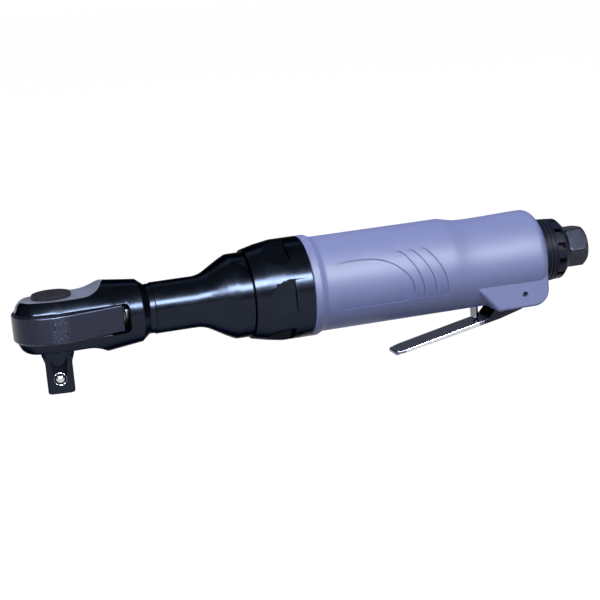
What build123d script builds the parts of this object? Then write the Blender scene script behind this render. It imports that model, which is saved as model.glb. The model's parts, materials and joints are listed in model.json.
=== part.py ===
from build123d import *
import os
from math import acos, asin, atan2, cos, degrees, pi, radians, sin, sqrt, tan

# Air ratchet with a half-inch square drive, modelled in millimetres.
# +X runs from the ratchet head to the air inlet, +Z points up and the square drive points down.
# The origin is the centre of the square drive's end face.
# Heights called "z" below are measured from the tool's long axis unless a comment says otherwise.

os.makedirs("parts", exist_ok=True)

# ---------------------------------------------------------------- driving dimensions
AXIS_Z = 33.3            # height of the tool's long axis above the square drive's end face

# ratchet head
HEAD_FLAT = 12.2         # half the height over the two milled flats
SLOT_HALF = 7.0          # half the height of the slot that the yoke rocks in
SLOT_END = 33.8          # rear wall of that slot
NECK_R = 12.45
FLARE_R = 20.7
HOUSING_SHOULDER = 93.2  # the clamp nut starts just behind this shoulder
HOUSING_TAIL = 106.6
TAIL_R = 20.0            # threaded tail inside the clamp nut
GEAR_BORE_R = 17.5       # bore that holds the ring gear and the motor stack

# yoke
YOKE_R = 19.6
YOKE_HALF = 6.8
YOKE_ARM_Y = 13.5
YOKE_END = 31.0
RATCHET_TEETH = 40
RATCHET_TIP_R = 13.3
RATCHET_ROOT_R = 15.0
FORK_START = 19.5
FORK_HALF = 8.8

# anvil and square drive
DRIVE_SQUARE = 12.7
DRIVE_CORNER_R = 7.9
ANVIL_BODY_R = 12.2
ANVIL_TOP_R = 8.0
ANVIL_BOSS_R = 7.8
ANVIL_FLANGE_R = 12.35
LOWER_BORE_R = 12.4
RUNNING = 0.05           # radial running clearance
STEM_R = 4.0
PAWL_PIN_X = 7.5
PAWL_SLOT_X = 2.0        # the pawl tilts in a slot that opens the anvil's front half to the knob's stem
PAWL_PIN_R = 1.5
PAWL_TILT = 8.0          # degrees to each side of neutral
ANVIL_TURN = -360 / RATCHET_TEETH    # the anvil rests one tooth round from square with the tool
KNOB_TURN = 30.0         # degrees to each side of neutral
KNOB_R = 9.3
KNOB_TOP = 14.4
KNOB_NOTCHES = 36
BALL_R = 2.5
BALL_Z = -26.0
BALL_PROUD = 1.0

# crankshaft and planetary gears
CRANK_OFFSET = 2.5
CRANK_PIN_R = 2.5
BUSHING_R = 3.6
JOURNAL_R = 5.0
MODULE = 0.7
SUN_TEETH = 12
PLANET_TEETH = 15
RING_TEETH = SUN_TEETH + 2 * PLANET_TEETH
PLANET_COUNT = 3
PLANET_RADIUS = MODULE * (SUN_TEETH + PLANET_TEETH) / 2
CARRIER_R = 13.2
CARRIER_X = (79.8, 93.6)
GEAR_X = (83.4, 90.8)
PLANET_PIN_R = 1.5

# clamp nut
NUT_X = (93.5, 121.8)
NUT_R = 24.8
NUT_FLATS = 6
NUT_FLAT_DISTANCE = 23.4
NUT_FLAT_END = 112.6

# motor
PLATE_FRONT_X = (95.9, 104.4)
CYLINDER_X = (104.4, 148.9)
PLATE_REAR_X = (148.9, 156.9)
MOTOR_END = 156.9
CYLINDER_BORE_R = 14.0
CYLINDER_DROP = 1.6      # the cylinder bore sits this far below the rotor's axis
ROTOR_R = 12.3
VANE_COUNT = 5
VANE_THICK = 1.6
VANE_DEPTH = 5.2

# grip and its lower block
GRIP_X = (121.9, 245.0)
GRIP_R = 23.3
GRIP_LIP_R = 24.8
WAIST_X = 193.6          # the top of the grip dips behind here
WAIST_DIP = 2.0
WAIST_RISE = 0.6
GRIP_BORE_R = 20.0
REAR_BORE_R = 16.6
STEP_X = 240.0           # rear end of the wide bore inside the grip
HOUSING_REAR = 244.4
PANEL_X = (134.6, 172.6)
RECESS_DEPTH = 0.8
GROOVE_COUNT = 3
GROOVE_PITCH = 6.2
GROOVE_WIDTH = 4.0
CHEEK_Y = 20.2
CHEEK_BOTTOM = -23.6
LEVER_SLOT_HALF = 7.8
LEVER_SLOT_TOP = -12.0
LEVER_SLOT_REAR = 240.0
EAR_CHANNEL_Y = 5.4

# throttle lever and valve
PIVOT = (231.1, -16.7)
LEVER_PIN_R = 1.5
LEVER_WIDTH = 14.8
LEVER_THICK = 1.6
LEVER_SLOPE = 11.5       # degrees below the tool axis at rest
LEVER_HEIGHT = -30.1     # height of its upper face under the valve pin
LEVER_TIP_X = 165.0
VALVE_X = 211.2
VALVE_PIN_R = 2.0
VALVE_PIN_TIP = -29.7
VALVE_BORE_R = 5.2

# inlet and exhaust
INLET_NECK_R = 8.5
INLET_THREAD_R = 8.0
INLET_AF = 19.0
INLET_X = (232.0, 272.0)
INLET_HEX_X = 261.3
INLET_BORE_R = 5.9
INLET_BORE_LENGTH = 13.0
DEFLECTOR_X = (244.7, 261.1)
DEFLECTOR_R = 16.2

AXIS = Axis((0, 0, AXIS_Z), (1, 0, 0))


# ---------------------------------------------------------------- shared shapes
def turned(outline):
    """Solid of revolution about the tool axis. Each corner is (x, radius) or (x, radius, fillet)."""
    points = [(corner[0], AXIS_Z + corner[1]) for corner in outline]
    face = make_face(Plane.XZ * Polyline(*points, close=True))
    for corner, (x, z) in zip(outline, points):
        if len(corner) == 3:
            vertex = face.vertices().sort_by_distance((x, 0, z))[0]
            face = fillet(vertex, corner[2])
    return revolve(face, AXIS, 360)


def rod(x0, x1, radius, y=0.0, z=0.0):
    """Round bar parallel to the tool axis."""
    return Pos(x0, y, AXIS_Z + z) * Rot(0, 90, 0) * Cylinder(
        radius, x1 - x0, align=(Align.CENTER, Align.CENTER, Align.MIN)
    )


def tube(x0, x1, outer, inner):
    return rod(x0, x1, outer) - rod(x0 - 1, x1 + 1, inner)


def post(z0, z1, radius, x=0.0, y=0.0):
    """Round bar parallel to Z."""
    return Pos(x, y, AXIS_Z + z0) * Cylinder(
        radius, z1 - z0, align=(Align.CENTER, Align.CENTER, Align.MIN)
    )


def cross(y0, y1, radius, x, z):
    """Round bar parallel to Y."""
    return Pos(x, y0, AXIS_Z + z) * Rot(-90, 0, 0) * Cylinder(
        radius, y1 - y0, align=(Align.CENTER, Align.CENTER, Align.MIN)
    )


def block(x0, x1, y0, y1, z0, z1):
    return Pos((x0 + x1) / 2, (y0 + y1) / 2, AXIS_Z + (z0 + z1) / 2) * Box(x1 - x0, y1 - y0, z1 - z0)


def side_plate(points, y0, y1):
    """Plate with an outline in the XZ plane, from y0 to y1."""
    outline = [(x, AXIS_Z + z) for x, z in points]
    face = make_face(Plane.XZ * Polyline(*outline, close=True))
    return Pos(0, y0, 0) * extrude(face, y1 - y0, dir=(0, 1, 0))


def plan_plate(face, z0, z1):
    """Plate with an outline in the XY plane, from z0 to z1."""
    return Pos(0, 0, AXIS_Z + z0) * extrude(face, z1 - z0)


def section_plate(face, x0, x1):
    """Plate with an outline in the YZ plane about the tool axis, from x0 to x1."""
    return Plane((x0, 0, AXIS_Z), x_dir=(0, 1, 0), z_dir=(1, 0, 0)) * extrude(face, x1 - x0)


def polar(radius, degrees_round):
    return radius * cos(radians(degrees_round)), radius * sin(radians(degrees_round))


def coil(radius, wire, height, turns):
    """Compression spring standing on the XY plane about Z."""
    path = Helix(pitch=height / turns, height=height, radius=radius)
    return sweep(Plane(origin=path @ 0, z_dir=path % 0) * Circle(wire), path=path)


def ball_bearing(x0, width, outer, inner, count):
    """Outer ring, inner ring and balls as separate solids."""
    middle = (outer + inner) / 2
    ball = (outer - inner) * 0.27
    groove = Pos(x0 + width / 2, 0, AXIS_Z) * Rot(0, 90, 0) * Torus(middle, ball + 0.03)
    outer_ring = tube(x0, x0 + width, outer, middle + ball * 0.6) - groove
    inner_ring = tube(x0, x0 + width, middle - ball * 0.6, inner) - groove
    solids = [outer_ring, inner_ring]
    for i in range(count):
        y, z = polar(middle, i * 360 / count)
        solids.append(Pos(x0 + width / 2, y, AXIS_Z + z) * Sphere(ball))
    return Compound(children=solids)


def involute_angle(radius, base_r):
    """Angle that an involute has turned through when it reaches this radius."""
    ratio = sqrt(max((radius / base_r) ** 2 - 1, 0.0))
    return ratio - atan2(ratio, 1.0)


def gear_outline(teeth, addendum, dedendum, backlash, phase):
    """Outline of a spur gear with involute flanks, a tooth centred at the phase angle in degrees."""
    pitch_r = MODULE * teeth / 2
    base_r = pitch_r * cos(radians(20))
    tip_r = pitch_r + addendum * MODULE
    root_r = pitch_r - dedendum * MODULE
    half_pitch = pi / (2 * teeth) - backlash / (2 * pitch_r)
    steps = 5
    points = []
    for tooth in range(teeth):
        centre = radians(phase) + 2 * pi * tooth / teeth
        for side in (-1, 1):
            radii = [root_r + (tip_r - root_r) * i / steps for i in range(steps + 1)]
            if side > 0:
                radii.reverse()
            for radius in radii:
                turn = involute_angle(max(radius, base_r), base_r) - involute_angle(pitch_r, base_r)
                angle = centre + side * (half_pitch - turn)
                points.append((radius * cos(angle), radius * sin(angle)))
    return make_face(Polyline(*points, close=True))


# ---------------------------------------------------------------- ratchet head
def ratchet_housing():
    blank = turned([
        (-18.5, 0), (-18.5, 6.4, 1.5), (-16.5, 10.8, 4.0), (-11.7, 15.0, 6.0), (0.0, 17.9, 20.0),
        (24.0, 17.1), (40.4, 15.1, 1.0), (44.2, 12.0, 1.2), (46.8, 12.0, 0.3), (47.2, NECK_R, 0.3),
        (71.2, NECK_R, 14.0), (81.2, 18.3, 12.0), (85.8, FLARE_R, 5.0), (HOUSING_SHOULDER, FLARE_R, 0.5),
        (HOUSING_SHOULDER, TAIL_R), (HOUSING_TAIL, TAIL_R), (HOUSING_TAIL, 0),
    ])
    # Each milled flat ends in a concave run-out that climbs to the turned surface.
    runout_x, runout_r, flat_end = 24.2, 15.0, 12.6
    for side in (1, -1):
        flat = block(-30, flat_end, -30, 30, HEAD_FLAT, HEAD_FLAT + 20)
        runout = cross(-30, 30, runout_r, flat_end, HEAD_FLAT + runout_r)
        cutter = flat + (runout & block(-30, runout_x + 8, -30, 30, HEAD_FLAT - 1, HEAD_FLAT + 9))
        blank -= cutter if side > 0 else cutter.mirror(Plane((0, 0, AXIS_Z), z_dir=(0, 0, 1)))
    slot = block(-30, SLOT_END, -30, 30, -SLOT_HALF, SLOT_HALF)
    slot = fillet(slot.edges().filter_by(Axis.Y).group_by(Axis.X)[-1], 2.5)
    blank -= slot
    blank -= post(0, 30, ANVIL_TOP_R + RUNNING)
    blank -= post(-30, 0, LOWER_BORE_R)
    blank -= post(-11.25, -10.15, 13.0)
    blank -= rod(SLOT_END - 1, 50.6, 8.0)
    blank -= rod(49.6, 72.1, 6.0)
    blank -= rod(71.6, 78.1, 11.0)
    blank -= rod(77.6, 83.1, 14.2)
    return blank - rod(82.8, HOUSING_TAIL + 1, GEAR_BORE_R)


def yoke():
    # The arms leave the round front end at a tangent and close in towards the crank.
    reach = sqrt(YOKE_END ** 2 + YOKE_ARM_Y ** 2)
    tangent = degrees(atan2(YOKE_ARM_Y, YOKE_END) + acos(YOKE_R / reach))
    side_x, side_y = polar(YOKE_R, tangent)
    arms = make_face(Polyline(
        (side_x, side_y), (YOKE_END, YOKE_ARM_Y), (YOKE_END, -YOKE_ARM_Y), (side_x, -side_y), close=True,
    ))
    teeth = []
    for i in range(RATCHET_TEETH):
        teeth.append(polar(RATCHET_ROOT_R, (i + 0.5) * 360 / RATCHET_TEETH))
        teeth.append(polar(RATCHET_TIP_R, (i + 1) * 360 / RATCHET_TEETH))
    ring_hole = make_face(Polyline(*teeth, close=True))
    fork_length = YOKE_END + 5 - FORK_START
    fork = Pos(FORK_START + fork_length / 2, 0) * RectangleRounded(fork_length, 2 * FORK_HALF, 3)
    solid = plan_plate(Circle(YOKE_R) + arms - ring_hole - fork, -YOKE_HALF, YOKE_HALF)
    rim = solid.edges().filter_by(GeomType.CIRCLE).filter_by(lambda e: abs(e.radius - YOKE_R) < 0.01)
    solid = chamfer(rim, 0.8)
    rear = solid.edges().filter_by(Axis.Y).filter_by(lambda e: e.center().X > YOKE_END - 0.1)
    return chamfer(rear, 1.2)


def square_drive():
    square = Rectangle(DRIVE_SQUARE, DRIVE_SQUARE) & Circle(DRIVE_CORNER_R)
    solid = plan_plate(square, -AXIS_Z, -15.0)
    return chamfer(solid.faces().sort_by(Axis.Z)[0].edges(), 0.7)


def anvil():
    solid = post(-6.85, 6.85, ANVIL_BODY_R) + post(6.0, 12.3, ANVIL_TOP_R)
    solid += post(-9.2, -6.0, ANVIL_FLANGE_R) + post(-15.2, -9.0, ANVIL_BOSS_R)
    taper = Pos(0, 0, AXIS_Z - 20.0) * Cone(
        DRIVE_SQUARE / 2 - 0.1, ANVIL_BOSS_R, 4.8, align=(Align.CENTER, Align.CENTER, Align.MIN)
    )
    solid += taper + square_drive()
    solid -= post(-2.7, 13.0, STEM_R + RUNNING)
    solid -= post(7.6, 8.6, STEM_R + 0.5)
    solid -= block(PAWL_SLOT_X, 15, -13, 13, -5.0, 5.0)
    solid -= post(-5.9, 5.9, PAWL_PIN_R, x=PAWL_PIN_X)
    bore_depth = 9.5
    return solid - cross(-10, -DRIVE_SQUARE / 2 + bore_depth, BALL_R + RUNNING, 0, BALL_Z)


def anvil_washer():
    return post(-10.15, -9.25, 12.3) - post(-12, -8, 8.4)


def anvil_circlip():
    ring = post(-11.2, -10.2, 12.95) - post(-12, -8, 11.0)
    return ring - block(-14, -10, -2, 2, -12, -8)


def pawl():
    outer = Circle(12.4) & Pos(12, 0) * Rectangle(16, 17.2)
    back = make_face(Polyline((0, -9), (5.3, -4.6), (5.3, 4.6), (0, 9), close=True))
    profile = outer - back
    for side in (1, -1):
        for step in range(2):
            angle = side * (30 + 9 * step)
            profile -= Pos(*polar(12.4, angle)) * Circle(0.55)
    solid = plan_plate(profile, -4.9, 4.9) - post(-6, 6, PAWL_PIN_R + RUNNING, x=PAWL_PIN_X)
    return Pos(PAWL_PIN_X, 0, 0) * Rot(0, 0, -PAWL_TILT) * Pos(-PAWL_PIN_X, 0, 0) * solid


def pawl_pin():
    return post(-5.85, 5.85, PAWL_PIN_R, x=PAWL_PIN_X)


def knob_turned(shape):
    """Places a knob part at its rest stop, where its plunger points to one side of neutral."""
    return Rot(0, 0, -KNOB_TURN) * shape


def reverse_knob():
    disc = Circle(KNOB_R)
    for i in range(KNOB_NOTCHES):
        disc -= Pos(*polar(KNOB_R + 0.1, (i + 0.5) * 360 / KNOB_NOTCHES)) * Circle(0.5)
    solid = plan_plate(disc, HEAD_FLAT + 0.15, KNOB_TOP) + post(-2.5, HEAD_FLAT + 0.3, STEM_R)
    top = solid.faces().sort_by(Axis.Z)[-1]
    solid = chamfer(top.edges(), 0.35)
    solid -= post(7.6, 8.6, STEM_R + 1) - post(7.6, 8.6, STEM_R - 0.5)
    solid -= rod(-2.9, 6.0, 1.45)
    return knob_turned(solid)


def knob_ring():
    ring = post(7.7, 8.5, STEM_R + 0.4) - post(7, 9, STEM_R - 0.45)
    return ring - block(-6, -2, -0.8, 0.8, 7, 9)


def knob_plunger():
    stem = rod(1.0, 5.05, 1.4)
    return knob_turned(fillet(stem.edges().sort_by(Axis.X)[-1], 0.9))


def knob_spring():
    return knob_turned(Pos(-2.7, 0, AXIS_Z) * Rot(0, 90, 0) * coil(0.95, 0.2, 2.7, 4))


def detent_ball():
    return Pos(0, -DRIVE_SQUARE / 2 - BALL_PROUD + BALL_R, AXIS_Z + BALL_Z) * Sphere(BALL_R)


def detent_spring():
    start_y = -DRIVE_SQUARE / 2 + 9.1
    length = 4.4
    return Pos(0, start_y, AXIS_Z + BALL_Z) * Rot(90, 0, 0) * coil(1.6, 0.3, length, 4)


# ---------------------------------------------------------------- crank and gears
def drive_bushing():
    return Pos(0, 0, CRANK_OFFSET) * tube(21.6, 30.4, BUSHING_R, CRANK_PIN_R + RUNNING)


def crankshaft():
    solid = rod(21.0, 36.0, CRANK_PIN_R, z=CRANK_OFFSET)
    solid += turned([
        (33.0, 0), (33.0, 6.7, 0.5), (34.6, 6.7), (34.6, 7.6), (37.6, 7.6), (37.6, JOURNAL_R),
        (51.6, JOURNAL_R), (51.6, 4.6), (70.6, 4.6), (70.6, JOURNAL_R - 0.02), (77.65, JOURNAL_R - 0.02),
        (77.65, 6.6), (CARRIER_X[0], 6.6), (CARRIER_X[0], CARRIER_R, 0.5), (CARRIER_X[1], CARRIER_R, 0.5),
        (CARRIER_X[1], 0),
    ])
    solid -= rod(83.0, CARRIER_X[1] + 1, 5.5)
    for i in range(PLANET_COUNT):
        y, z = polar(PLANET_RADIUS, 90 + i * 360 / PLANET_COUNT)
        solid -= rod(83.0, 91.2, 6.3, y, z)
        solid -= rod(80.6, CARRIER_X[1] + 1, PLANET_PIN_R, y, z)
    return solid


def crank_front_bearing():
    roller_r = 0.95
    race_r = JOURNAL_R + roller_r + 0.04
    solids = [tube(38.6, 50.6, 8.0, race_r + roller_r + 0.04)]
    rollers = 16
    for i in range(rollers):
        y, z = polar(race_r, i * 360 / rollers)
        solids.append(rod(39.6, 49.6, roller_r, y, z))
    return Compound(children=solids)


def planet_gear(index):
    angle = 90 + index * 360 / PLANET_COUNT
    sun_phase = angle * SUN_TEETH / 360
    phase = (angle + 180) - (0.5 - sun_phase) * 360 / PLANET_TEETH
    y, z = polar(PLANET_RADIUS, angle)
    outline = gear_outline(PLANET_TEETH, 0.8, 1.05, 0.12, phase) - Circle(PLANET_PIN_R + RUNNING)
    return Pos(0, y, z) * section_plate(outline, *GEAR_X)


def planet_pins():
    pins = []
    for i in range(PLANET_COUNT):
        y, z = polar(PLANET_RADIUS, 90 + i * 360 / PLANET_COUNT)
        pins.append(rod(80.6, CARRIER_X[1], PLANET_PIN_R, y, z))
    return Compound(children=pins)


def ring_gear():
    # The tooth spaces are cut with the outline of a spur gear whose teeth are the spaces.
    spaces = gear_outline(RING_TEETH, 1.05, 0.8, -0.12, 180 / RING_TEETH)
    return section_plate(Circle(GEAR_BORE_R) - spaces, 82.8, 94.4)


def gear_washer():
    return tube(94.4, 95.9, GEAR_BORE_R, 6.6)


# ---------------------------------------------------------------- clamp nut
def clamp_nut():
    solid = turned([
        (NUT_X[0], TAIL_R), (NUT_X[0], 21.8, 0.5), (100.6, 23.5, 10.0), (108.6, NUT_R, 12.0),
        (NUT_X[1], NUT_R, 0.5), (NUT_X[1], TAIL_R), (114.7, TAIL_R), (114.7, 21.5), (HOUSING_TAIL, 21.5),
        (HOUSING_TAIL, TAIL_R),
    ])
    for i in range(NUT_FLATS):
        cutter = block(90, NUT_FLAT_END, -NUT_FLAT_DISTANCE - 10, -NUT_FLAT_DISTANCE, -20, 20)
        solid -= cutter.rotate(AXIS, i * 360 / NUT_FLATS)
    return solid


def clamp_ring():
    return tube(112.6, 114.6, 21.4, 19.2) - block(110, 120, -2, 2, 15, 25)


# ---------------------------------------------------------------- air motor
def front_end_plate():
    return tube(*PLATE_FRONT_X, GEAR_BORE_R, 6.0) - rod(95.0, 102.9, 11.0) - cylinder_dowel()


def cylinder_liner():
    solid = rod(*CYLINDER_X, GEAR_BORE_R) - rod(100, 160, CYLINDER_BORE_R, z=-CYLINDER_DROP)
    for x in (115, 121, 127, 133, 139):
        solid -= post(10, 20, 1.6, x=x, y=4.0)
        solid -= post(10, 20, 1.6, x=x, y=-4.0)
    return solid - cylinder_dowel()


def cylinder_dowel():
    return rod(101.6, 108.6, 1.0, z=15.0)


def rotor():
    solid = rod(104.6, 148.7, ROTOR_R)
    for i in range(VANE_COUNT):
        slot_half = VANE_THICK / 2 + 0.05
        slot = block(104, 150, -slot_half, slot_half, ROTOR_R - VANE_DEPTH - 0.3, 20)
        solid -= slot.rotate(AXIS, i * 360 / VANE_COUNT)
    solid += turned([
        (95.5, 0), (95.5, 4.0), (96.6, 4.0), (96.6, JOURNAL_R - 0.02), (105.1, JOURNAL_R - 0.02), (105.1, 0),
    ])
    solid += turned([(148.1, 0), (148.1, 2.98), (156.2, 2.98), (156.2, 0)])
    pinion = gear_outline(SUN_TEETH, 0.8, 1.05, 0.12, 0)
    return solid + section_plate(pinion, 83.5, 95.5)


def rotor_vanes():
    vanes = []
    for i in range(VANE_COUNT):
        vane = block(104.7, 148.6, -VANE_THICK / 2, VANE_THICK / 2, ROTOR_R - VANE_DEPTH, ROTOR_R - 0.05)
        vanes.append(vane.rotate(AXIS, i * 360 / VANE_COUNT))
    return Compound(children=vanes)


def rear_end_plate():
    solid = tube(*PLATE_REAR_X, GEAR_BORE_R, 3.6) - rod(150.2, 158, 9.5)
    return solid - rod(147, 159, 2.5, z=-14.0)


# ---------------------------------------------------------------- motor housing and grip
def lever_slot(half_width):
    """Slot that the lever's ears swing in, with a channel for each ear beside the valve."""
    rear = [(LEVER_SLOT_REAR, LEVER_SLOT_TOP), (LEVER_SLOT_REAR, -40.0)]
    middle = [(217.0, -40.0), (217.0, -18.5), (222.5, LEVER_SLOT_TOP)]
    channel = [(213.0, -40.0), (213.0, -21.0), (222.5, LEVER_SLOT_TOP)]
    slot = side_plate(middle + rear, -half_width, half_width)
    slot += side_plate(channel + rear, -half_width, -EAR_CHANNEL_Y)
    return slot + side_plate(channel + rear, EAR_CHANNEL_Y, half_width)


def motor_housing():
    solid = turned([
        (HOUSING_TAIL, GEAR_BORE_R), (HOUSING_TAIL, TAIL_R), (112.6, TAIL_R), (112.6, 19.2), (114.6, 19.2),
        (114.6, TAIL_R), (STEP_X, GRIP_BORE_R), (STEP_X, 15.9), (HOUSING_REAR, 15.9),
        (HOUSING_REAR, INLET_THREAD_R), (INLET_X[0] - 1.0, INLET_THREAD_R), (INLET_X[0] - 1.0, 5.0),
        (VALVE_X, 5.0), (VALVE_X, 0),
        (VALVE_X - VALVE_BORE_R, 0), (MOTOR_END, 0), (MOTOR_END, GEAR_BORE_R),
    ])
    solid -= rod(MOTOR_END - 5, VALVE_X, 2.5, z=-14.0)
    for angle in (50, 90, 130):
        y, z = polar(13.0, angle)
        solid -= rod(MOTOR_END - 5, HOUSING_REAR + 1, 2.2, y, z)
    solid -= post(-30, 5.8, VALVE_BORE_R, x=VALVE_X)
    solid -= lever_slot(LEVER_SLOT_HALF)
    return solid - cross(-30, 30, LEVER_PIN_R, *PIVOT)


def smooth_step(x, start, end):
    t = min(max((x - start) / (end - start), 0.0), 1.0)
    return t * t * (3 - 2 * t)


def grip_recesses():
    """Label panel and three finger grooves sunk into both sides of the grip."""
    left, top, bottom = PANEL_X[0], 12.7, -10.6
    nose_x, nose_z, corner = 148.0, -6.0, 3.5
    outline = [
        Line((left + corner, top), (nose_x, top)),
        EllipticalCenterArc((nose_x, nose_z), PANEL_X[1] - nose_x, top - nose_z, 0, arc_size=90),
        EllipticalCenterArc((PANEL_X[1] - 4.8, nose_z), 4.8, nose_z - bottom, -90, arc_size=90),
        Line((PANEL_X[1] - 4.8, bottom), (left + corner, bottom)),
        CenterArc((left + corner, bottom + corner), corner, 180, 90),
        Line((left, bottom + corner), (left, top - corner)),
        CenterArc((left + corner, top - corner), corner, 90, 90),
    ]
    to_side = Plane((0, 0, AXIS_Z), x_dir=(1, 0, 0), z_dir=(0, -1, 0))
    recess = extrude(to_side * make_face(outline), 30, both=True)
    for i in range(GROOVE_COUNT):
        bend = ThreePointArc((167.0, 12.0), (173.2, 3.2), (176.0, -8.6))
        groove = Pos(i * GROOVE_PITCH, 0) * SlotArc(bend, GROOVE_WIDTH)
        recess += extrude(to_side * groove, 30, both=True)
    return recess & tube(PANEL_X[0] - 5, WAIST_X, GRIP_R + 1, GRIP_R - RECESS_DEPTH)


def grip_sleeve():
    front = turned([
        (GRIP_X[0], 0), (GRIP_X[0], GRIP_LIP_R, 1.0), (125.4, GRIP_LIP_R, 1.5), (128.6, GRIP_R, 3.0),
        (WAIST_X, GRIP_R), (WAIST_X, 0),
    ])
    # Behind the waist the round section is smaller and sits lower, so the underside stays level.
    sections = []
    station_count = 12
    for i in range(station_count):
        x = WAIST_X + (GRIP_X[1] - WAIST_X) * i / (station_count - 1)
        dip = WAIST_DIP * smooth_step(x, WAIST_X, WAIST_X + 13) - WAIST_RISE * smooth_step(x, 212, STEP_X)
        radius = GRIP_R - dip / 2
        centre_z = AXIS_Z + radius - GRIP_R
        sections.append(Plane((x, 0, centre_z), x_dir=(0, 1, 0), z_dir=(1, 0, 0)) * Circle(radius))
    rear = loft(sections)
    rear = fillet(rear.edges().sort_by(Axis.X)[-1], 5.0)
    cheek_end = GRIP_X[1] - 0.6
    cheeks = side_plate(
        [(200.0, -4.0), (205.2, -10.4), (217.0, CHEEK_BOTTOM), (cheek_end, CHEEK_BOTTOM),
         (cheek_end, -4.0)], -CHEEK_Y, CHEEK_Y,
    )
    low_rear = cheeks.edges().filter_by(Axis.Y).sort_by(lambda e: e.center().X - e.center().Z)[-1]
    cheeks = fillet(low_rear, 8.0)
    side_edges = cheeks.edges().filter_by(lambda e: abs(e.center().Y) > CHEEK_Y - 0.1)
    lower_rim = side_edges.filter_by(lambda e: e.center().Z < AXIS_Z - 10.5)
    cheeks = fillet(lower_rim, 1.5)
    solid = front + rear + cheeks
    solid -= rod(GRIP_X[0] - 1, STEP_X, GRIP_BORE_R)
    solid -= rod(STEP_X - 1, GRIP_X[1] + 1, REAR_BORE_R)
    solid -= post(-30, -5, VALVE_BORE_R, x=VALVE_X)
    solid -= lever_slot(LEVER_SLOT_HALF)
    solid -= cross(-30, 30, LEVER_PIN_R, *PIVOT)
    return solid - grip_recesses()


# ---------------------------------------------------------------- throttle
def lever_line(x):
    """Height of the lever's upper face at rest."""
    return LEVER_HEIGHT + (x - VALVE_X) * tan(radians(LEVER_SLOPE))


def throttle_lever():
    half = LEVER_WIDTH / 2
    start, end = LEVER_TIP_X + 2.0, 234.6
    plate = side_plate([
        (start, lever_line(start)), (end, lever_line(end)), (end, lever_line(end) - LEVER_THICK),
        (start, lever_line(start) - LEVER_THICK),
    ], -half, half)
    nose = cross(-half, half, LEVER_THICK / 2 + 0.4, start, lever_line(start) - LEVER_THICK / 2)
    nose_plan = Pos(LEVER_TIP_X + 7, 0) * Circle(half) + Pos(LEVER_TIP_X + 47, 0) * Rectangle(80, LEVER_WIDTH)
    solid = (plate + nose) & plan_plate(nose_plan, -60, 0)
    for y0, y1 in ((-half, -half + LEVER_THICK), (half - LEVER_THICK, half)):
        flange = side_plate([
            (178.0, lever_line(178) - 0.4), (end, lever_line(end) - 0.4), (end, lever_line(end) - 1.6),
            (222.0, lever_line(222) - 2.4), (184.0, lever_line(184) - 1.9),
        ], y0, y1)
        ear = side_plate([
            (215.0, lever_line(215) - 0.5), (220.8, -23.6), (225.3, -14.9), (229.1, -13.4), (234.1, -13.9),
            (235.7, -16.9), (end, lever_line(end) - 0.5),
        ], y0, y1)
        ear = fillet(ear.edges().filter_by(Axis.Y).filter_by(lambda e: e.center().Z > AXIS_Z - 18.5), 1.5)
        solid += flange + ear
    return solid - cross(-30, 30, LEVER_PIN_R + RUNNING, *PIVOT)


def lever_pin():
    return cross(-18.0, 18.0, LEVER_PIN_R, *PIVOT)


def valve_pin():
    stem = post(VALVE_PIN_TIP, -10.0, VALVE_PIN_R, x=VALVE_X)
    return fillet(stem.edges().sort_by(Axis.Z)[0], 1.2)


def throttle_valve():
    return post(-10.4, -8.0, 4.2, x=VALVE_X) - post(-11, -10.0, VALVE_PIN_R, x=VALVE_X)


def valve_seat():
    return post(-12.4, -10.4, VALVE_BORE_R, x=VALVE_X) - post(-14, -9, 3.0, x=VALVE_X)


def valve_bushing():
    body = post(-22.3, -17.0, VALVE_BORE_R, x=VALVE_X)
    return body - post(-24, -16, VALVE_PIN_R + RUNNING, x=VALVE_X) - post(-18.5, -16, 3.5, x=VALVE_X)


def valve_oring():
    return Pos(VALVE_X, 0, AXIS_Z - 17.75) * Torus(2.78, 0.7)


def valve_spring():
    return Pos(VALVE_X, 0, AXIS_Z - 7.6) * coil(3.2, 0.4, 12.9, 5)


# ---------------------------------------------------------------- inlet and exhaust
def inlet_bushing():
    flat_to_flat = INLET_AF / 2
    hexagon = section_plate(RegularPolygon(flat_to_flat, 6, major_radius=False), INLET_HEX_X, INLET_X[1])
    corner = flat_to_flat / cos(pi / 6)
    hexagon &= turned([
        (INLET_HEX_X, 0), (INLET_HEX_X, corner - 0.6), (INLET_HEX_X + 1.2, corner + 0.1),
        (269.6, corner + 0.1), (INLET_X[1], corner - 1.8), (INLET_X[1], 0),
    ])
    body = turned([
        (INLET_X[0], 0), (INLET_X[0], INLET_THREAD_R, 0.6), (243.6, INLET_THREAD_R), (243.6, 7.0),
        (HOUSING_REAR, 7.0), (HOUSING_REAR, INLET_NECK_R), (INLET_HEX_X + 0.5, INLET_NECK_R), (INLET_HEX_X + 0.5, 0),
    ])
    bore_start = INLET_X[1] - INLET_BORE_LENGTH
    solid = body + hexagon - rod(bore_start, 280, INLET_BORE_R) - rod(INLET_X[0] - 1, 280, 4.4)
    mouth = Pos(INLET_X[1] - 0.8, 0, AXIS_Z) * Rot(0, 90, 0) * Cone(
        INLET_BORE_R, INLET_BORE_R + 0.85, 0.85, align=(Align.CENTER, Align.CENTER, Align.MIN)
    )
    return solid - mouth


def inlet_oring():
    return Pos(244.0, 0, AXIS_Z) * Rot(0, 90, 0) * Torus(7.45, 0.38)


def inlet_screen():
    disc = rod(257.6, 258.2, 4.4)
    for y, z in [(0, 0)] + [polar(2.5, i * 60) for i in range(6)]:
        disc -= rod(257, 259, 0.75, y, z)
    return disc


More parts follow.
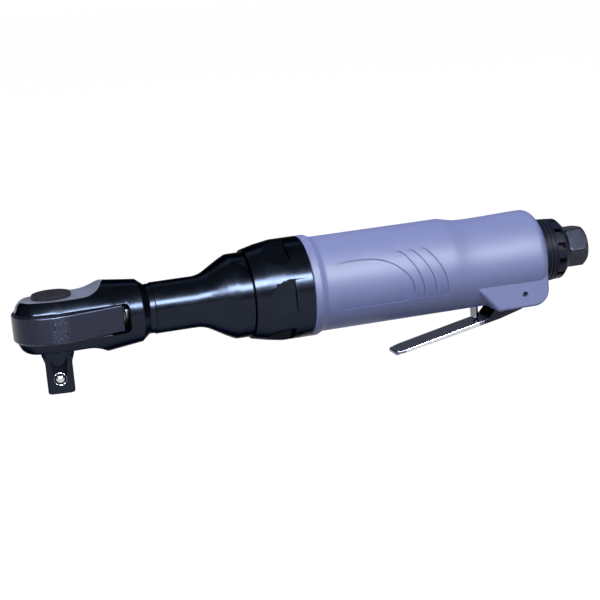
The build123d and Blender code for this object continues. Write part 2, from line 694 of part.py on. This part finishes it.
def exhaust_deflector():
    solid = turned([
        (DEFLECTOR_X[0], 13.4), (DEFLECTOR_X[0], DEFLECTOR_R, 0.3), (247.4, DEFLECTOR_R - 0.1, 0.2),
        (247.4, 15.4), (248.1, 15.4), (248.1, 16.0), (249.5, 15.9), (249.5, 15.2), (250.2, 15.2),
        (250.2, 15.85), (251.6, 15.75), (251.6, 15.1), (252.3, 15.1), (252.3, 15.7), (257.4, 15.3, 1.0),
        (260.2, 12.3, 0.8), (DEFLECTOR_X[1], 10.8), (DEFLECTOR_X[1], INLET_NECK_R + RUNNING),
        (259.0, INLET_NECK_R + RUNNING), (259.0, 11.4), (256.5, 13.4),
    ])
    ports = 12
    for i in range(ports):
        port = block(252.9, 256.9, -1.5, 1.5, 11.5, 18)
        solid -= port.rotate(AXIS, (i + 0.5) * 360 / ports)
    return solid


def muffler_ring():
    return tube(245.5, 258.8, 11.2, 8.75)


# ---------------------------------------------------------------- all nodes
nodes = {
    "ratchet_housing": ratchet_housing(),
    "yoke": yoke(),
    "anvil_washer": anvil_washer(),
    "anvil_circlip": anvil_circlip(),
    "drive_bushing": drive_bushing(),
    "crankshaft": crankshaft(),
    "crank_front_bearing": crank_front_bearing(),
    "crank_rear_bearing": ball_bearing(71.6, 6.0, 11.0, JOURNAL_R, 9),
    "planet_pins": planet_pins(),
    "ring_gear": ring_gear(),
    "gear_washer": gear_washer(),
    "clamp_nut": clamp_nut(),
    "clamp_ring": clamp_ring(),
    "front_end_plate": front_end_plate(),
    "front_rotor_bearing": ball_bearing(96.9, 6.0, 11.0, JOURNAL_R, 9),
    "cylinder_liner": cylinder_liner(),
    "cylinder_dowel": cylinder_dowel(),
    "rotor": rotor(),
    "rotor_vanes": rotor_vanes(),
    "rear_end_plate": rear_end_plate(),
    "rear_rotor_bearing": ball_bearing(150.2, 6.0, 9.5, 3.0, 7),
    "motor_housing": motor_housing(),
    "grip_sleeve": grip_sleeve(),
    "throttle_lever": throttle_lever(),
    "lever_pin": lever_pin(),
    "valve_pin": valve_pin(),
    "throttle_valve": throttle_valve(),
    "valve_seat": valve_seat(),
    "valve_bushing": valve_bushing(),
    "valve_oring": valve_oring(),
    "valve_spring": valve_spring(),
    "inlet_bushing": inlet_bushing(),
    "inlet_oring": inlet_oring(),
    "inlet_screen": inlet_screen(),
    "exhaust_deflector": exhaust_deflector(),
    "muffler_ring": muffler_ring(),
}
for number in range(PLANET_COUNT):
    nodes[f"planet_gear_{number + 1}"] = planet_gear(number)

turning_with_anvil = {
    "anvil": anvil(),
    "pawl": pawl(),
    "pawl_pin": pawl_pin(),
    "reverse_knob": reverse_knob(),
    "knob_ring": knob_ring(),
    "knob_plunger": knob_plunger(),
    "knob_spring": knob_spring(),
    "detent_ball": detent_ball(),
    "detent_spring": detent_spring(),
}
for name, shape in turning_with_anvil.items():
    nodes[name] = Rot(0, 0, ANVIL_TURN) * shape

for name, shape in nodes.items():
    export_step(shape, f"parts/{name}.step")

lever_arm = (21.6 + 30.4) / 2
print("yoke rocks", round(degrees(asin(CRANK_OFFSET / lever_arm)), 2), "degrees to each side")
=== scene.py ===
# Visual model of an air ratchet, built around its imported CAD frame.
# Everything is in metres in the CAD frame: +X from head to inlet, +Z up, the square drive points down.
import json
from math import cos, pi, radians, sin

import bmesh
import bpy
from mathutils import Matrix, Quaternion, Vector


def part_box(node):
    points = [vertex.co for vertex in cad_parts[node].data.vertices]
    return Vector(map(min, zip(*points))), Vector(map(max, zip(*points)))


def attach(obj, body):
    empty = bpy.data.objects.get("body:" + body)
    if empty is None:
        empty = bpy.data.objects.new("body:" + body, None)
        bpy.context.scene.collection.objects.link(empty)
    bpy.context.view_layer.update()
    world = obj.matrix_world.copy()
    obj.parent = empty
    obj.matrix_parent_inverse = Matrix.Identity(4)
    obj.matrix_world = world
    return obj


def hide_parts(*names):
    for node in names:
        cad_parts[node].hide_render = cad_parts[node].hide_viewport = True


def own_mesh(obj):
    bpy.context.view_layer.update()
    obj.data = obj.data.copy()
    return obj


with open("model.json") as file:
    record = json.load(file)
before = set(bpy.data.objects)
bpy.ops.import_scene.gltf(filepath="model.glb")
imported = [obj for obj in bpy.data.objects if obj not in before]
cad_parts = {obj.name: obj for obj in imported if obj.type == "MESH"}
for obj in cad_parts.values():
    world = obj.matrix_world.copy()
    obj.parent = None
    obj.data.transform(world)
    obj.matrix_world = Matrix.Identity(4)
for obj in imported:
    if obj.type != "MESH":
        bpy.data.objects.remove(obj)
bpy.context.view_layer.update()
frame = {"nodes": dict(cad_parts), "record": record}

MM = 0.001
DRIVE_HALF = 6.35 * MM   # half of the square drive
AXIS_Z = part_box("rotor")[0].z / 2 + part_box("rotor")[1].z / 2


# ---------------------------------------------------------------- shader helpers
def new_material(name):
    material = bpy.data.materials.new(name)
    material.use_nodes = True
    tree = material.node_tree
    return material, tree, tree.nodes["Principled BSDF"]


def add_node(tree, kind, **values):
    node = tree.nodes.new(kind)
    for key, value in values.items():
        if key in node.inputs:
            node.inputs[key].default_value = value
        else:
            setattr(node, key, value)
    return node


def object_point(tree, scale=(1, 1, 1)):
    """Position on the piece in metres, scaled, so that a pattern keeps its real size."""
    coordinates = add_node(tree, "ShaderNodeTexCoord")
    mapping = add_node(tree, "ShaderNodeMapping")
    mapping.inputs["Scale"].default_value = scale
    tree.links.new(coordinates.outputs["Object"], mapping.inputs["Vector"])
    return mapping.outputs["Vector"]


def split(tree, output):
    """X, Y and Z of one output of the texture coordinates."""
    coordinates = add_node(tree, "ShaderNodeTexCoord")
    parts = add_node(tree, "ShaderNodeSeparateXYZ")
    tree.links.new(coordinates.outputs[output], parts.inputs[0])
    return parts.outputs


def math_node(tree, operation, first, second=0.0):
    node = add_node(tree, "ShaderNodeMath", operation=operation)
    for socket, value in zip(node.inputs, (first, second)):
        if isinstance(value, (int, float)):
            socket.default_value = value
        else:
            tree.links.new(value, socket)
    return node.outputs[0]


def noise(tree, vector, scale, detail=3.0, roughness=0.55):
    node = add_node(tree, "ShaderNodeTexNoise", Scale=scale, Detail=detail, Roughness=roughness)
    tree.links.new(vector, node.inputs["Vector"])
    return node.outputs["Fac"]


def remap(tree, value, low, high, to_low, to_high):
    node = add_node(tree, "ShaderNodeMapRange")
    for key, number in (("From Min", low), ("From Max", high), ("To Min", to_low), ("To Max", to_high)):
        node.inputs[key].default_value = number
    tree.links.new(value, node.inputs["Value"])
    return node.outputs["Result"]


def mix_colour(tree, factor, first, second):
    node = tree.nodes.new("ShaderNodeMix")
    node.data_type = "RGBA"
    for socket, value in ((node.inputs[6], first), (node.inputs[7], second)):
        if isinstance(value, tuple):
            socket.default_value = (*value, 1)
        else:
            tree.links.new(value, socket)
    tree.links.new(factor, node.inputs[0])
    return node.outputs[2]


def bump(tree, shader, height, strength, distance):
    node = add_node(tree, "ShaderNodeBump", Strength=strength, Distance=distance)
    tree.links.new(height, node.inputs["Height"])
    tree.links.new(node.outputs["Normal"], shader.inputs["Normal"])
    return node


# ---------------------------------------------------------------- materials
def steel(name, dark, light, roughness, metallic=1.0, lines=(2600, 60, 60), line_depth=0.4, edge=1.0):
    """Machined steel: fine tool lines along one axis, smudged roughness and slightly uneven colour."""
    material, tree, shader = new_material(name)
    shader.inputs["Metallic"].default_value = metallic
    shader.inputs["Specular Tint"].default_value = (edge, edge, edge, 1)
    smudge = noise(tree, object_point(tree), 85.0, 5.0)
    tool_lines = noise(tree, object_point(tree, lines), 1.0, 4.0, 0.7)
    tree.links.new(mix_colour(tree, smudge, dark, light), shader.inputs["Base Color"])
    rough = remap(tree, smudge, 0.3, 0.7, roughness * 0.8, roughness * 1.25)
    tree.links.new(rough, shader.inputs["Roughness"])
    bump(tree, shader, tool_lines, line_depth, 0.00002)
    return material


def blued_steel(name):
    """Near-black steel with crisp turning lines and dark edges at a grazing angle."""
    return steel(name, (0.0135, 0.0172, 0.0265), (0.0195, 0.024, 0.035), 0.21, line_depth=0.9, edge=0.35)


def machined_head():
    """Blued housing whose milled flats and their run-outs are lighter and rougher."""
    material = blued_steel("machined_head")
    tree = material.node_tree
    shader = tree.nodes["Principled BSDF"]
    normal, point = split(tree, "Normal"), split(tree, "Object")
    across = math_node(tree, "LESS_THAN", math_node(tree, "ABSOLUTE", normal[1]), 0.12)
    upward = math_node(tree, "ABSOLUTE", normal[2])
    facing = math_node(tree, "MULTIPLY", across, math_node(tree, "GREATER_THAN", upward, 0.25))
    milled = math_node(tree, "MULTIPLY", facing, math_node(tree, "LESS_THAN", point[0], 24.6 * MM))
    blued_colour = shader.inputs["Base Color"].links[0].from_socket
    blued_rough = shader.inputs["Roughness"].links[0].from_socket
    tree.links.new(mix_colour(tree, milled, blued_colour, (0.5, 0.52, 0.66)), shader.inputs["Base Color"])
    extra = math_node(tree, "MULTIPLY", milled, 0.2)
    tree.links.new(math_node(tree, "ADD", blued_rough, extra), shader.inputs["Roughness"])
    return material


def milled_yoke():
    """Dark milled steel with a coarse, sparkling band across the round end."""
    material, tree, shader = new_material("milled_yoke")
    shader.inputs["Metallic"].default_value = 1.0
    fleck = noise(tree, object_point(tree), 2200.0, 5.0, 0.75)
    point = split(tree, "Object")
    band = remap(tree, math_node(tree, "ABSOLUTE", point[0]), 1.5 * MM, 5.0 * MM, 1.0, 0.0)
    spark = math_node(tree, "MULTIPLY", remap(tree, fleck, 0.55, 0.66, 0.0, 1.0), band)
    colour = mix_colour(tree, spark, (0.026, 0.028, 0.045), (0.2, 0.23, 0.32))
    tree.links.new(colour, shader.inputs["Base Color"])
    tree.links.new(remap(tree, fleck, 0.3, 0.7, 0.22, 0.45), shader.inputs["Roughness"])
    bump(tree, shader, fleck, 0.6, 0.00005)
    return material


def grip_composite():
    material, tree, shader = new_material("grip_composite")
    blotch = noise(tree, object_point(tree), 55.0, 4.0)
    grain = noise(tree, object_point(tree), 2600.0, 2.0)
    colour = mix_colour(tree, blotch, (0.112, 0.134, 0.31), (0.126, 0.15, 0.345))
    tree.links.new(colour, shader.inputs["Base Color"])
    shader.inputs["Specular IOR Level"].default_value = 0.38
    tree.links.new(remap(tree, grain, 0.3, 0.7, 0.46, 0.6), shader.inputs["Roughness"])
    bump(tree, shader, grain, 0.4, 0.00005)
    return material


def lever_steel():
    """Dark pressed plate. Its ears are painted near-black as shade under the grip, and the side faces of its
    middle are painted lighter, partly bare trimmed metal and partly a painted highlight of the lit bend.
    """
    material = steel("lever_steel", (0.1, 0.102, 0.155), (0.145, 0.148, 0.215), 0.22, 1.0, (60, 900, 60), 0.3)
    tree = material.node_tree
    shader = tree.nodes["Principled BSDF"]
    normal, along = split(tree, "Normal"), split(tree, "Object")[0]
    # Side faces of the middle are painted lighter: partly bare trimmed metal, partly a painted highlight of
    # the lit bend.
    sideways = math_node(tree, "GREATER_THAN", math_node(tree, "ABSOLUTE", normal[1]), 0.45)
    upright = math_node(tree, "GREATER_THAN", normal[2], -0.3)
    middle = math_node(tree, "COMPARE", along, 191 * MM)
    middle.node.inputs[2].default_value = 20 * MM
    trimmed_edge_and_highlight = math_node(tree, "MULTIPLY", math_node(tree, "MULTIPLY", sideways, upright), middle)
    plate = shader.inputs["Base Color"].links[0].from_socket
    # Painted shade: the ears behind the pivot sit in shade under the grip and are painted near-black.
    ear_shade_mask = math_node(tree, "GREATER_THAN", along, 213.5 * MM)
    dark = mix_colour(tree, ear_shade_mask, plate, (0.02, 0.021, 0.03))
    # Lighter colour on those side faces: partly bare trimmed metal, partly a painted highlight.
    tree.links.new(mix_colour(tree, trimmed_edge_and_highlight, dark, (0.55, 0.56, 0.6)), shader.inputs["Base Color"])
    return material


def dull(material):
    """The same material with weaker reflections."""
    material.node_tree.nodes["Principled BSDF"].inputs["Specular IOR Level"].default_value = 0.1
    return material


def simple(name, colour, roughness, metallic=0.0, grain=900.0, depth=0.00002):
    material, tree, shader = new_material(name)
    shader.inputs["Metallic"].default_value = metallic
    fleck = noise(tree, object_point(tree), grain, 4.0)
    darker = tuple(part * 0.75 for part in colour)
    tree.links.new(mix_colour(tree, fleck, darker, colour), shader.inputs["Base Color"])
    rough = remap(tree, fleck, 0.3, 0.7, roughness * 0.85, roughness * 1.2)
    tree.links.new(rough, shader.inputs["Roughness"])
    bump(tree, shader, fleck, 0.4, depth)
    return material


MATERIALS = {
    "blued_steel": blued_steel("blued_steel"),
    "milled_steel": milled_yoke(),
    "black_steel": steel("black_steel", (0.022, 0.024, 0.036), (0.034, 0.036, 0.05), 0.28),
    "ground_steel": steel("ground_steel", (0.42, 0.43, 0.45), (0.55, 0.56, 0.58), 0.28),
    "polished_steel": steel(
        "polished_steel", (0.5, 0.51, 0.55), (0.62, 0.63, 0.66), 0.12, lines=(60, 60, 60), line_depth=0.2,
    ),
    "knob_black": dull(simple("knob_black", (0.01, 0.01, 0.016), 0.6, 0.0, 1500.0, 0.00008)),
    "dark_pin": steel("dark_pin", (0.14, 0.145, 0.17), (0.26, 0.27, 0.3), 0.16, 1.0, (900, 900, 20), 0.9),
    "spring_steel": steel("spring_steel", (0.35, 0.35, 0.37), (0.45, 0.45, 0.47), 0.3),
    "grip_composite": grip_composite(),
    "aluminium": simple("aluminium", (0.62, 0.63, 0.65), 0.4, 1.0),
    "brass": simple("brass", (0.72, 0.52, 0.2), 0.3, 1.0),
    "bronze": simple("bronze", (0.55, 0.34, 0.16), 0.35, 1.0),
    "rubber": simple("rubber", (0.02, 0.02, 0.02), 0.7),
    "black_plastic": dull(simple("black_plastic", (0.006, 0.008, 0.022), 0.45)),
    "vane_plastic": simple("vane_plastic", (0.3, 0.17, 0.08), 0.6),
    "felt": simple("felt", (0.03, 0.031, 0.04), 0.95, 0.0, 3000.0, 0.0002),
}


OWN_FINISH = {"valve_pin": "dark_pin"}   # nodes that look unlike the rest of their material slot


def dress_cad_nodes():
    slots = {part["node"]: part["material_slot"] for part in frame["record"]["subparts"]}
    for node, obj in frame["nodes"].items():
        material = MATERIALS[OWN_FINISH.get(node, slots[node])]
        for slot in obj.material_slots:
            slot.material = material
        if not obj.material_slots:
            obj.data.materials.append(material)


# ---------------------------------------------------------------- pieces
def new_piece(name, vertices, faces, body, slot, material=None):
    mesh = bpy.data.meshes.new(name)
    mesh.from_pydata(vertices, [], faces)
    mesh.materials.append(material or MATERIALS[slot])
    mesh.shade_smooth()
    mesh.set_sharp_from_angle(angle=radians(38))
    piece = bpy.data.objects.new(name, mesh)
    bpy.context.scene.collection.objects.link(piece)
    weighted = piece.modifiers.new("weighted", "WEIGHTED_NORMAL")
    weighted.keep_sharp = True
    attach(piece, body)
    return piece


def edge_rounded(node, body, slot, width, material=None):
    """A piece whose sharp outer edges are rounded over, so that they catch the light."""
    shape = bmesh.new()
    shape.from_mesh(frame["nodes"][node].data)
    bmesh.ops.remove_doubles(shape, verts=shape.verts, dist=2e-6)
    bmesh.ops.dissolve_limit(shape, angle_limit=radians(0.4), verts=shape.verts, edges=shape.edges)
    sharp = [
        edge for edge in shape.edges
        if edge.is_manifold and edge.is_convex and edge.calc_face_angle() > radians(35)
    ]
    bmesh.ops.bevel(
        shape, geom=sharp, offset=width * MM, offset_type="OFFSET", segments=2, profile=0.5,
        affect="EDGES", clamp_overlap=False,
    )
    shape.verts.index_update()
    vertices = [vertex.co.copy() for vertex in shape.verts]
    faces = [[vertex.index for vertex in face.verts] for face in shape.faces]
    shape.free()
    piece = new_piece(node + "_finished", vertices, faces, body, slot, material)
    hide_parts(node)
    return piece


def staked_ring():
    """Ring of metal pushed over the detent ball to keep it in the square."""
    low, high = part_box("detent_ball")
    centre = (low + high) / 2
    outward = Vector((centre.x, centre.y, 0)).normalized()
    sideways = Vector((0, 0, 1)).cross(outward)
    face = outward * DRIVE_HALF + Vector((0, 0, centre.z))
    ring_radius = 2.95 * MM
    around, across = 48, 8
    vertices = []
    for i in range(around):
        turn = 2 * pi * i / around
        direction = sideways * cos(turn) + Vector((0, 0, 1)) * sin(turn)
        thickness = (0.13 + 0.09 * sin(turn * 11)) * MM
        for j in range(across):
            roll = 2 * pi * j / across
            reach = ring_radius + thickness * cos(roll)
            vertices.append(face + direction * reach + outward * thickness * sin(roll))
    faces = [
        (i * across + j, (i + 1) % around * across + j, (i + 1) % around * across + (j + 1) % across,
         i * across + (j + 1) % across)
        for i in range(around) for j in range(across)
    ]
    return new_piece("staked_ring", vertices, faces, "anvil", "polished_steel", MATERIALS["dark_pin"])


def inlet_thread():
    """Ridge of the pipe thread inside the air inlet."""
    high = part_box("inlet_bushing")[1].x
    start = high - 13 * MM
    end = high - 1.6 * MM
    radius = 5.95 * MM
    pitch = 1.41 * MM
    depth = 0.55 * MM
    steps = 48
    count = int((end - start) / pitch * steps)
    vertices = []
    for i in range(count + 1):
        turn = 2 * pi * i / steps
        x = start + pitch * i / steps
        for offset, r in ((-0.36 * pitch, radius), (0, radius - depth), (0.36 * pitch, radius)):
            vertices.append((x + offset, r * sin(turn), AXIS_Z + r * cos(turn)))
    faces = [(0, 1, 2), (count * 3 + 2, count * 3 + 1, count * 3)]
    for i in range(count):
        a, b = i * 3, i * 3 + 3
        faces += [(a, b, b + 1, a + 1), (a + 1, b + 1, b + 2, a + 2), (a + 2, b + 2, b, a)]
    return new_piece("inlet_thread", vertices, faces, "tool_body", "black_steel")


def valve_spring():
    """Spring over the valve, copied from the CAD spring's mesh; the real spring shortens by the valve's
    travel as the lever is pressed.
    """
    wire = frame["nodes"]["valve_spring"].data
    vertices = [vertex.co.copy() for vertex in wire.vertices]
    faces = [list(face.vertices) for face in wire.polygons]
    piece = new_piece("valve_spring_wire", vertices, faces, "tool_body", "spring_steel")
    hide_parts("valve_spring")
    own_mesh(piece)


def finish_pieces():
    edge_rounded("ratchet_housing", "tool_body", "blued_steel", 0.35, machined_head())
    edge_rounded("clamp_nut", "tool_body", "blued_steel", 0.35)
    edge_rounded("yoke", "yoke", "milled_steel", 0.35)
    edge_rounded("anvil", "anvil", "blued_steel", 0.35)
    edge_rounded("throttle_lever", "throttle_lever", "polished_steel", 0.6, lever_steel())
    edge_rounded("inlet_bushing", "tool_body", "black_steel", 0.35)
    edge_rounded("exhaust_deflector", "exhaust_deflector", "black_plastic", 0.2)
    edge_rounded("reverse_knob", "reverse_knob", "black_steel", 0.15, MATERIALS["knob_black"])
    staked_ring()
    inlet_thread()
    valve_spring()


# ---------------------------------------------------------------- stage
def add_light(name, elevation, azimuth, distance, width, height, radiance, colour=(1, 1, 1)):
    """Soft box aimed at the tool, given by its direction, size and brightness."""
    middle = Vector((0.125, 0, AXIS_Z))
    up, side = radians(elevation), radians(azimuth)
    direction = Vector((sin(side) * cos(up), -cos(side) * cos(up), sin(up)))
    data = bpy.data.lights.new(name, "AREA")
    data.shape = "RECTANGLE"
    data.size, data.size_y = width, height
    data.energy = radiance * pi * width * height
    data.color = colour
    light = bpy.data.objects.new(name, data)
    light.location = middle + direction * distance
    light.rotation_euler = direction.to_track_quat("Z", "Y").to_euler()
    light.visible_camera = False
    bpy.context.scene.collection.objects.link(light)
    return light


def add_camera():
    azimuth, elevation, roll = radians(-15.81), radians(12.0), radians(-5.19)
    target = Vector((120.71 * MM, 0, AXIS_Z - 6.88 * MM))
    distance = 862.14 * MM
    back = Vector((sin(azimuth) * cos(elevation), -cos(azimuth) * cos(elevation), sin(elevation)))
    data = bpy.data.cameras.new("camera")
    data.lens = 105.73
    data.sensor_width = 36
    data.clip_start, data.clip_end = 0.01, 50
    camera = bpy.data.objects.new("camera", data)
    camera.location = target + back * distance
    turn = back.to_track_quat("Z", "Y") @ Quaternion((0, 0, 1), roll)
    camera.rotation_euler = turn.to_euler()
    bpy.context.scene.collection.objects.link(camera)
    bpy.context.scene.camera = camera


def add_stage(name, mesh, colour, emission):
    stage = bpy.data.objects.new(name, mesh)
    bpy.context.scene.collection.objects.link(stage)
    material, tree, shader = new_material(name)
    shader.inputs["Base Color"].default_value = (colour, colour, colour, 1)
    shader.inputs["Roughness"].default_value = 0.9
    shader.inputs["Specular IOR Level"].default_value = 0.0
    shader.inputs["Emission Color"].default_value = (1, 1, 1, 1)
    shader.inputs["Emission Strength"].default_value = emission
    mesh.materials.append(material)
    return stage


def add_floor():
    """White floor under the drive's end and the lever's tip. It lights nothing by diffuse bounce."""
    lever_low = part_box("throttle_lever")[0]
    tip_x = lever_low.x + 2 * MM
    slope = -lever_low.z / (tip_x + DRIVE_HALF)
    gap = 0.4 * MM
    mesh = bpy.data.meshes.new("floor")
    half = 6.0
    spots = ((-half, -half), (half, -half), (half, half), (-half, half))
    corners = [(x, y, -slope * (x + DRIVE_HALF) - gap) for x, y in spots]
    mesh.from_pydata(corners, [], [(0, 1, 2, 3)])
    floor = add_stage("floor", mesh, 0.06, 0.98)
    floor.visible_diffuse = False


def add_backdrop():
    """White dome behind everything, seen by the camera only."""
    shape = bmesh.new()
    bmesh.ops.create_uvsphere(shape, u_segments=48, v_segments=24, radius=9.0)
    mesh = bpy.data.meshes.new("backdrop")
    shape.to_mesh(mesh)
    shape.free()
    backdrop = add_stage("backdrop", mesh, 0.0, 1.0)
    backdrop.visible_diffuse = False
    backdrop.visible_glossy = False
    backdrop.visible_transmission = False
    backdrop.visible_shadow = False


def add_world():
    """Dim studio, darker towards the horizon and below it."""
    world = bpy.data.worlds.new("studio")
    world.use_nodes = True
    tree = world.node_tree
    height = split(tree, "Generated")[2]
    background = tree.nodes["Background"]
    background.inputs["Color"].default_value = (0.74, 0.84, 1.0, 1)
    tree.links.new(remap(tree, height, -0.1, 0.9, 0.2, 0.24), background.inputs["Strength"])
    bpy.context.scene.world = world


def add_lights():
    strip = add_light("key_strip", 31, -10, 1.0, 1.7, 0.23, 60, (0.9, 0.95, 1.0))
    strip.visible_diffuse = False
    key = add_light("key_box", 40, -14, 1.0, 1.5, 0.2, 20, (1.0, 0.985, 0.88))
    key.visible_glossy = False
    top = add_light("top_box", 64, -10, 1.2, 1.3, 0.5, 2.0, (1.0, 0.985, 0.88))
    top.visible_glossy = False
    add_light("back_fill", 55, 180, 1.4, 1.2, 0.3, 1.2)
    back = add_light("back_box", 40, 180, 1.4, 1.2, 0.5, 3.5)
    back.visible_glossy = False


dress_cad_nodes()
finish_pieces()
add_camera()
add_floor()
add_backdrop()
add_world()
add_lights()
bpy.context.scene.view_settings.view_transform = "Standard"
